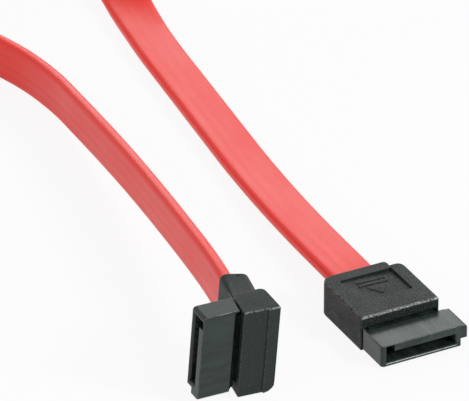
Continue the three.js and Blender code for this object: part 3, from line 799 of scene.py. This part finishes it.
# Edges that turn less than this aren't rounded
CORNER_ANGLE = radians(30)
# How far outside an edge a ray starts that looks for a neighbouring wall
RAY_START = 0.01 * MM
# Edges sharper than this stay sharp on a moulding
MOULD_SHARP_ANGLE = radians(35)

# Where the mouldings' edges are rounded: the limits of u, v and w in millimetres in the plug's
# frame, the rounding in millimetres, and its share of polish and of pale painted highlight. The
# first zone that fits counts, and outside them all an edge stays as it is.
ANY = (-inf, inf)
OVERMOLD_ZONES = {
    "straight": (
        # Round the top: left side, front, right side and back
        ((-inf, -6.9), ANY, (3.4, inf), 0.42, 0.3),
        (ANY, (-inf, 0.4), (3.4, inf), 0.34, 1.0),
        ((6.4, inf), ANY, (3.4, inf), 0.34, 0.2),
        (ANY, (11.5, inf), (3.4, inf), 0.3, 0.1),
        # Underside, and the front below the top
        (ANY, ANY, (-inf, -2.0), 0.25, 0.1),
        (ANY, (-inf, 0.4), ANY, 0.2, 0.1),
    ),
    "angled": (
        # Boot, polished and painted with a pale highlight where its upper end meets its front
        ((-inf, -6.4), (-inf, 3.2), (-inf, -2.4), 0.1, 0.6),
        (ANY, ANY, (-inf, -2.4), 0.1, 0.1),
        # Keyed end, with a wider rounding at the front
        ((8.2, inf), (-inf, 1.0), ANY, 0.42, 0.1),
        ((8.2, inf), ANY, ANY, 0.3, 0.1),
        # Edge between the upper end and the broad face, then all the rest
        ((-inf, -6.8), ANY, (2.8, inf), 0.2, 1.0),
        (ANY, ANY, ANY, 0.2, 0.15),
    ),
}
HOUSING_ZONES = (
    # Plain end's edge on the thick wall, then both broad faces and both ends
    ((-inf, -6.8), ANY, (1.6, inf), 0.13, 0.8),
    (ANY, ANY, (1.76, inf), 0.13, 0.3),
    (ANY, ANY, (-inf, -1.76), 0.13, 0.3),
    ((-inf, -6.9), ANY, ANY, 0.13, 0.3),
    ((7.0, inf), ANY, ANY, 0.13, 0.3),
)


def rounding_at(place, zones):
    """Rounding and share of polish and pale painted highlight at a place in the plug's frame"""
    for *limits, rounding, polish_and_highlight in zones:
        if all(low < value < high for value, (low, high) in zip(place, limits)):
            return rounding * MM, polish_and_highlight
    return 0.0, 0.0


def merged_copy(node):
    """A node's mesh as one connected surface with its flat faces whole"""
    mesh = bmesh.new()
    mesh.from_mesh(frame["nodes"][node].data)
    bmesh.ops.remove_doubles(mesh, verts=mesh.verts, dist=MERGE_REACH)
    bmesh.ops.dissolve_limit(mesh, angle_limit=FLAT_ANGLE, verts=mesh.verts, edges=mesh.edges)
    mesh.normal_update()
    return mesh


def weigh_edges(mesh, to_plug, zones, widest):
    """Gives each free outer edge its share of the widest rounding"""
    layer = mesh.edges.layers.float.new("bevel_weight_edge")
    tree = BVHTree.FromBMesh(mesh)
    for edge in mesh.edges:
        if len(edge.link_faces) != 2 or not edge.is_convex:
            continue
        if edge.calc_face_angle() < CORNER_ANGLE:
            continue
        middle = (edge.verts[0].co + edge.verts[1].co) / 2
        outward = (edge.link_faces[0].normal + edge.link_faces[1].normal).normalized()
        if tree.ray_cast(middle + outward * RAY_START, outward)[0] is not None:
            continue
        rounding, _ = rounding_at(to_plug @ middle / MM, zones)
        edge[layer] = min(1.0, rounding / widest)


def rounded_copy(name, node, plug, zones, sizes):
    """A node's shape with its outer edges rounded, and the share of polish and pale painted highlight of
    each rounding as a value
    """
    mesh = merged_copy(node)
    to_plug = plug_placing(plug).inverted()
    weigh_edges(mesh, to_plug, zones, sizes.soft_edge)
    draft = bpy.data.meshes.new(name + "_draft")
    mesh.to_mesh(draft)
    mesh.free()
    draft.materials.clear()
    # Two stand-in materials, which tell the roundings' faces from the others
    for label in ("face", "rounding"):
        draft.materials.append(bpy.data.materials.get(label) or bpy.data.materials.new(label))

    def prepare(piece):
        bevel = piece.modifiers.new("Rounding", "BEVEL")
        bevel.limit_method = "WEIGHT"
        bevel.width = sizes.soft_edge
        bevel.segments = sizes.rounding_steps
        bevel.material = 1
        bevel.use_clamp_overlap = False
        bevel.loop_slide = False
        bevel.miter_outer = "MITER_ARC"
        normals = piece.modifiers.new("Flat faces", "WEIGHTED_NORMAL")
        normals.keep_sharp = True

    for polygon in draft.polygons:
        polygon.use_smooth = True
        polygon.material_index = 0
    draft.set_sharp_from_angle(angle=MOULD_SHARP_ANGLE)
    result = baked(name, draft, prepare)
    edge = result.attributes.new("edge", "FLOAT", "FACE")
    for polygon, value in zip(result.polygons, edge.data):
        _, polish_and_highlight = rounding_at(to_plug @ polygon.center / MM, zones)
        value.value = polish_and_highlight * polygon.material_index
        polygon.material_index = 0
    return result


class CABLE_OT_overmolds(bpy.types.Operator):
    """Make the textured outer mouldings"""

    bl_idname = "cable.overmolds"
    bl_label = "Overmolds"

    def execute(self, context):
        for plug in PLUGS:
            name = f"{plug}_plug_overmold"
            node = f"{plug}_overmold"
            mesh = rounded_copy(name, node, plug, OVERMOLD_ZONES[plug], context.scene.cable_plugs)
            material = overmold_material(plug, context.scene.cable_colours.overmold)
            add_piece(name, mesh, "overmold", material, node)
        return {"FINISHED"}


class CABLE_OT_housings(bpy.types.Operator):
    """Make the smooth front shells"""

    bl_idname = "cable.housings"
    bl_label = "Housings"

    def execute(self, context):
        for plug in PLUGS:
            name = f"{plug}_plug_housing"
            node = f"{plug}_housing"
            mesh = rounded_copy(name, node, plug, HOUSING_ZONES, context.scene.cable_plugs)
            material = housing_material(plug, context.scene.cable_colours.housing)
            add_piece(name, mesh, "housing", material, node)
        return {"FINISHED"}


# Contacts and wires

# The strip's line in millimetres, as v and w in the plug's frame: its sprung nose, then its tail
NOSE = ((-5.6, 0.95), (-4.9, 0.45), (-4.2, 0.5), (-1.8, 1.05), (-0.9, 1.05))
TAILS = {
    "straight": ((5.3, 1.05),),
    "angled": ((2.45, 1.05), (2.8, 0.7), (2.8, -0.55)),
}
# Points along each stretch of the nose
NOSE_STEPS = 6
# Share of the full width at the tip, and how much wider each point after it is
TIP_SHARE = 0.7
TIP_STEP = 0.15
# Size of the strip's cut corners beside its thickness
CUT_SHARE = 0.3


def strip_mesh(name, tail, sizes):
    """One contact: a flat strip with its nose drawn smooth, then its tail"""
    nose = [Vector((0, v, w)) * MM for v, w in NOSE]
    line = [point for _, point in curve_through(nose, NOSE_STEPS)]
    line += [Vector((0, v, w)) * MM for v, w in tail]
    corner = sizes.contact_thickness * CUT_SHARE
    deep = sizes.contact_thickness / 2
    mesh = bmesh.new()
    rings = []
    for index, (point, tangent) in enumerate(zip(line, slopes(line))):
        normal = Vector((0, -tangent.z, tangent.y))
        half = sizes.contact_width / 2 * min(1.0, TIP_SHARE + TIP_STEP * index)
        section = (
            (-half, corner - deep), (corner - half, -deep), (half - corner, -deep), (half, corner - deep),
            (half, deep - corner), (half - corner, deep), (corner - half, deep), (-half, deep - corner),
        )
        rings.append([mesh.verts.new(point + Vector((a, 0, 0)) + normal * b) for a, b in section])
    skinned(mesh, rings)
    return finished_mesh(name, mesh)


@built_once("Contact row")
def contact_row_tree(name):
    """Geometry Nodes: copies of one strip in a row"""
    tree = bpy.data.node_groups.new(name, "GeometryNodeTree")
    inputs = {"Geometry": "Geometry", "Count": "Int", "Pitch": "Float", "Material": "Material"}
    for label, kind in inputs.items():
        tree.interface.new_socket(label, in_out="INPUT", socket_type="NodeSocket" + kind)
    tree.interface.new_socket("Geometry", in_out="OUTPUT", socket_type="NodeSocketGeometry")
    start = tree.nodes.new("NodeGroupInput")
    end = tree.nodes.new("NodeGroupOutput")
    row = tree.nodes.new("GeometryNodeMeshLine")
    gap = tree.nodes.new("ShaderNodeCombineXYZ")
    first = tree.nodes.new("ShaderNodeCombineXYZ")
    spans = add_maths(tree, "SUBTRACT", start.outputs["Count"], 1.0)
    reach = add_maths(tree, "MULTIPLY", spans, start.outputs["Pitch"])
    tree.links.new(add_maths(tree, "MULTIPLY", reach, -0.5), first.inputs["X"])
    tree.links.new(start.outputs["Pitch"], gap.inputs["X"])
    tree.links.new(start.outputs["Count"], row.inputs["Count"])
    tree.links.new(first.outputs[0], row.inputs["Start Location"])
    tree.links.new(gap.outputs[0], row.inputs["Offset"])
    copies = tree.nodes.new("GeometryNodeInstanceOnPoints")
    tree.links.new(row.outputs["Mesh"], copies.inputs["Points"])
    tree.links.new(start.outputs["Geometry"], copies.inputs["Instance"])
    real = tree.nodes.new("GeometryNodeRealizeInstances")
    tree.links.new(copies.outputs["Instances"], real.inputs["Geometry"])
    painted = tree.nodes.new("GeometryNodeSetMaterial")
    tree.links.new(real.outputs["Geometry"], painted.inputs["Geometry"])
    tree.links.new(start.outputs["Material"], painted.inputs["Material"])
    tree.links.new(painted.outputs["Geometry"], end.inputs["Geometry"])


def set_inputs(modifier, **values):
    """Sets a Geometry Nodes modifier's inputs by the names of their sockets"""
    for item in modifier.node_group.interface.items_tree:
        if item.item_type == "SOCKET" and item.in_out == "INPUT" and item.name in values:
            modifier[item.identifier] = values[item.name]


class CABLE_OT_contacts(bpy.types.Operator):
    """Make the rows of sprung contacts"""

    bl_idname = "cable.contacts"
    bl_label = "Contacts"

    def execute(self, context):
        sizes = context.scene.cable_plugs
        gold = metal_material("Contact gold", context.scene.cable_colours.gold, 0.26)
        for plug in PLUGS:
            name = f"{plug}_plug_contacts"
            strip = strip_mesh(name + "_strip", TAILS[plug], sizes)

            def prepare(piece):
                row = piece.modifiers.new("Row", "NODES")
                row.node_group = contact_row_tree()
                set_inputs(row, Count=sizes.contact_count, Pitch=sizes.contact_pitch, Material=gold)

            mesh = baked(name, strip, prepare)
            mesh.transform(plug_placing(plug))
            nodes = [f"{plug}_contact_{n}" for n in range(1, sizes.contact_count + 1)]
            add_piece(name, mesh, "contact", gold, *nodes)
        return {"FINISHED"}


class CABLE_OT_wires(bpy.types.Operator):
    """Finish the soldered wires and the inner mouldings round them"""

    bl_idname = "cable.wires"
    bl_label = "Wires"

    def execute(self, context):
        colours = context.scene.cable_colours
        finishes = {
            "drain": metal_material("Wire tin", colours.tin, 0.35),
            "core": plain_plastic("Core insulation", colours.core, 0.4),
            "wire_cap": plain_plastic("Cap moulding", colours.cap, 0.6),
        }
        for entry in frame["record"]["subparts"]:
            finish = finishes.get(entry["material_slot"])
            if finish is not None:
                data = frame["nodes"][entry["node"]].data
                data.materials.clear()
                data.materials.append(finish)
        return {"FINISHED"}


# Camera and stage

# Lower near corner of the straight plug, which the camera's distance is counted from, and how
# far to its left and above it the camera looks
NEAR_CORNER = Vector((7.3, -3.6, 0)) * MM
LOOK_LEFT = 19.86 * MM
LOOK_ABOVE = 23.69 * MM
FLOOR_COLOUR = (0.9, 0.9, 0.9)
FLOOR_ROUGHNESS = 0.9
# Lamps: azimuth and elevation in degrees, then distance and size in metres
LAMPS = {
    "Key": (38, 32, 0.9, (0.2, 0.2)),
    "Fill": (-100, 30, 1.0, (0.5, 0.5)),
    "Back": (160, 22, 1.1, (0.55, 0.46)),
}


class CABLE_OT_camera(bpy.types.Operator):
    """Place the camera"""

    bl_idname = "cable.camera"
    bl_label = "Camera"

    def execute(self, context):
        stage = context.scene.cable_stage
        back = direction(stage.azimuth, stage.elevation)
        level = Vector((cos(stage.azimuth), sin(stage.azimuth), 0))
        right = Matrix.Rotation(stage.roll, 3, back) @ level
        upward = back.cross(right)
        target = NEAR_CORNER - right * LOOK_LEFT + upward * LOOK_ABOVE
        eye = NEAR_CORNER + back * stage.distance
        behind = (eye - target).normalized()
        side = (right - behind * right.dot(behind)).normalized()
        axes = Matrix((side, behind.cross(side), behind)).transposed()
        camera = bpy.data.cameras.new("Camera")
        camera.lens = stage.lens
        camera.clip_start = 0.05
        camera.clip_end = 50
        holder = bpy.data.objects.new("Camera", camera)
        holder.matrix_world = Matrix.Translation(eye) @ axes.to_4x4()
        context.scene.collection.objects.link(holder)
        context.scene.camera = holder
        return {"FINISHED"}


def add_lamp(name, azimuth, elevation, distance, size, power):
    """A lamp of soft white light towards the plugs, seen from them at the given angles"""
    lamp = bpy.data.lights.new(name, "AREA")
    lamp.shape = "RECTANGLE"
    lamp.size, lamp.size_y = size
    lamp.energy = power
    away = direction(radians(azimuth), radians(elevation))
    holder = bpy.data.objects.new(name, lamp)
    holder.location = away * distance
    holder.rotation_euler = (-away).to_track_quat("-Z", "Y").to_euler()
    bpy.context.scene.collection.objects.link(holder)


def seen_directly(tree):
    """1 for what the camera sees, straight or in a reflection or glass, and 0 for other light"""
    path = tree.nodes.new("ShaderNodeLightPath")
    seen = add_maths(tree, "MAXIMUM", path.outputs["Is Camera Ray"], path.outputs["Is Glossy Ray"])
    return add_maths(tree, "MAXIMUM", seen, path.outputs["Is Transmission Ray"])


def add_sky(level):
    """Plain light all round, white where it is seen"""
    world = bpy.data.worlds.new("Sky")
    world.use_nodes = True
    tree = world.node_tree
    background = tree.nodes["Background"]
    background.inputs["Color"].default_value = (1, 1, 1, 1)
    strength = add_range(tree, seen_directly(tree), 0.0, 1.0, level, 1.0)
    tree.links.new(strength, background.inputs["Strength"])
    bpy.context.scene.world = world


def floor_material(glow):
    """White floor whose shadow is thinned, where it is seen, by a share of plain white"""
    material, shader = new_material("Pale floor", FLOOR_COLOUR, FLOOR_ROUGHNESS)
    shader.inputs["Specular IOR Level"].default_value = 0.2
    tree = material.node_tree
    white = tree.nodes.new("ShaderNodeEmission")
    blend = tree.nodes.new("ShaderNodeMixShader")
    share = add_maths(tree, "MULTIPLY", seen_directly(tree), glow)
    tree.links.new(share, blend.inputs["Fac"])
    tree.links.new(shader.outputs[0], blend.inputs[1])
    tree.links.new(white.outputs[0], blend.inputs[2])
    tree.links.new(blend.outputs[0], tree.nodes["Material Output"].inputs["Surface"])
    return material


class CABLE_OT_stage(bpy.types.Operator):
    """Make the pale floor and the soft light"""

    bl_idname = "cable.stage"
    bl_label = "Stage"

    def execute(self, context):
        stage = context.scene.cable_stage
        half = stage.floor_size / 2
        corners = ((-half, -half, 0), (half, -half, 0), (half, half, 0), (-half, half, 0))
        mesh = bpy.data.meshes.new("floor")
        mesh.from_pydata(corners, [], [(0, 1, 2, 3)])
        floor = bpy.data.objects.new("floor", mesh)
        context.scene.collection.objects.link(floor)
        mesh.materials.append(floor_material(stage.glow))
        add_sky(stage.sky)
        for name, place in LAMPS.items():
            add_lamp(name, *place, getattr(stage, name.lower()))
        context.scene.view_settings.view_transform = "Standard"
        return {"FINISHED"}


class CABLE_PT_panel(bpy.types.Panel):
    """Lists the cable's operators and settings"""

    bl_idname = "CABLE_PT_panel"
    bl_label = "Flat data cable"
    bl_space_type = "VIEW_3D"
    bl_region_type = "UI"
    bl_category = "Cable"

    def draw(self, context):
        for group in GROUPS:
            box = self.layout.box()
            settings = getattr(context.scene, group)
            for key in settings.bl_rna.properties.keys():
                if key not in {"rna_type", "name"}:
                    box.prop(settings, key)
        for operator in OPERATORS:
            self.layout.operator(operator.bl_idname)


GROUPS = {
    "cable_ribbon": RibbonSizes,
    "cable_plugs": PlugSizes,
    "cable_colours": CableColours,
    "cable_stage": StageSettings,
}
OPERATORS = (
    CABLE_OT_camera,
    CABLE_OT_ribbon,
    CABLE_OT_overmolds,
    CABLE_OT_housings,
    CABLE_OT_contacts,
    CABLE_OT_wires,
    CABLE_OT_stage,
)


def register():
    """Adds the settings, operators and panel"""
    for name, group in GROUPS.items():
        bpy.utils.register_class(group)
        setattr(bpy.types.Scene, name, PointerProperty(type=group))
    for cls in (*OPERATORS, CABLE_PT_panel):
        bpy.utils.register_class(cls)


def unregister():
    """Takes them away again"""
    for cls in reversed((*OPERATORS, CABLE_PT_panel)):
        bpy.utils.unregister_class(cls)
    for name, group in reversed(GROUPS.items()):
        delattr(bpy.types.Scene, name)
        bpy.utils.unregister_class(group)


def main():
    """Makes the whole scene"""
    register()
    bpy.ops.cable.camera()
    bpy.ops.cable.ribbon()
    bpy.ops.cable.overmolds()
    bpy.ops.cable.housings()
    bpy.ops.cable.contacts()
    bpy.ops.cable.wires()
    bpy.ops.cable.stage()


if __name__ == "__main__":
    main()
